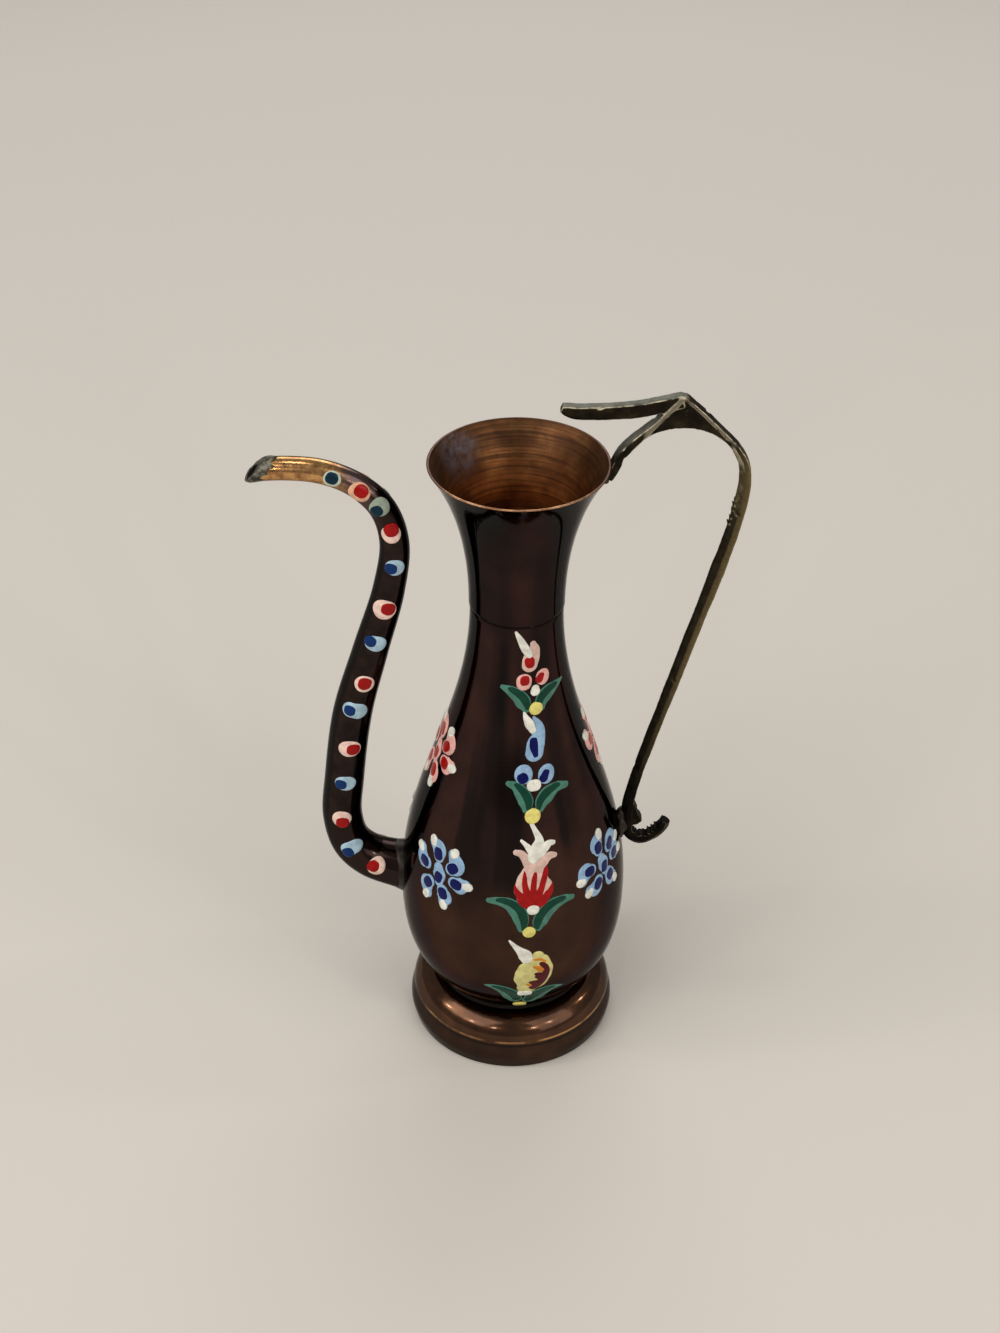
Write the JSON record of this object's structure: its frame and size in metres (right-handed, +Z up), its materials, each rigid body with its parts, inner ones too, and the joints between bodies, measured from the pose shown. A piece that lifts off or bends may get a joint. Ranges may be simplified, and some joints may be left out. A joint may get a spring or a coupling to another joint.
{
  "type": "souvenir ewer",
  "caption": "Small lacquered copper jug with a long S-shaped spout, a cast brass handle and raised hand-painted enamel flowers, buds and tulips in blue, pink, red, yellow and green.",
  "frame": {"origin": "The middle of the object's box seen from above, on the plane that its foot stands on.", "axes": "+Z is up, along the jug's round axis. +X points from the spout's tip to the handle. +Y points away from the camera of the picture, square to the plane that holds the spout and the handle."},
  "size_m": [0.096, 0.0484, 0.1564],
  "materials": {
    "lacquered_copper": "glossy",
    "aged_brass": "satin",
    "soft_solder": "matte",
    "enamel_paint": "glossy"
  },
  "bodies": {
    "root": {"body_shell": "lacquered_copper", "neck_collar": "lacquered_copper", "foot_ring": "lacquered_copper", "spout_tube": "lacquered_copper", "handle_casting": "aged_brass", "neck_solder_ring": "soft_solder", "foot_solder_ring": "soft_solder", "spout_base_solder": "soft_solder", "spout_tip_solder": "soft_solder", "handle_rim_solder": "soft_solder", "handle_tail_solder": "soft_solder"}
  },
  "joints": []
}
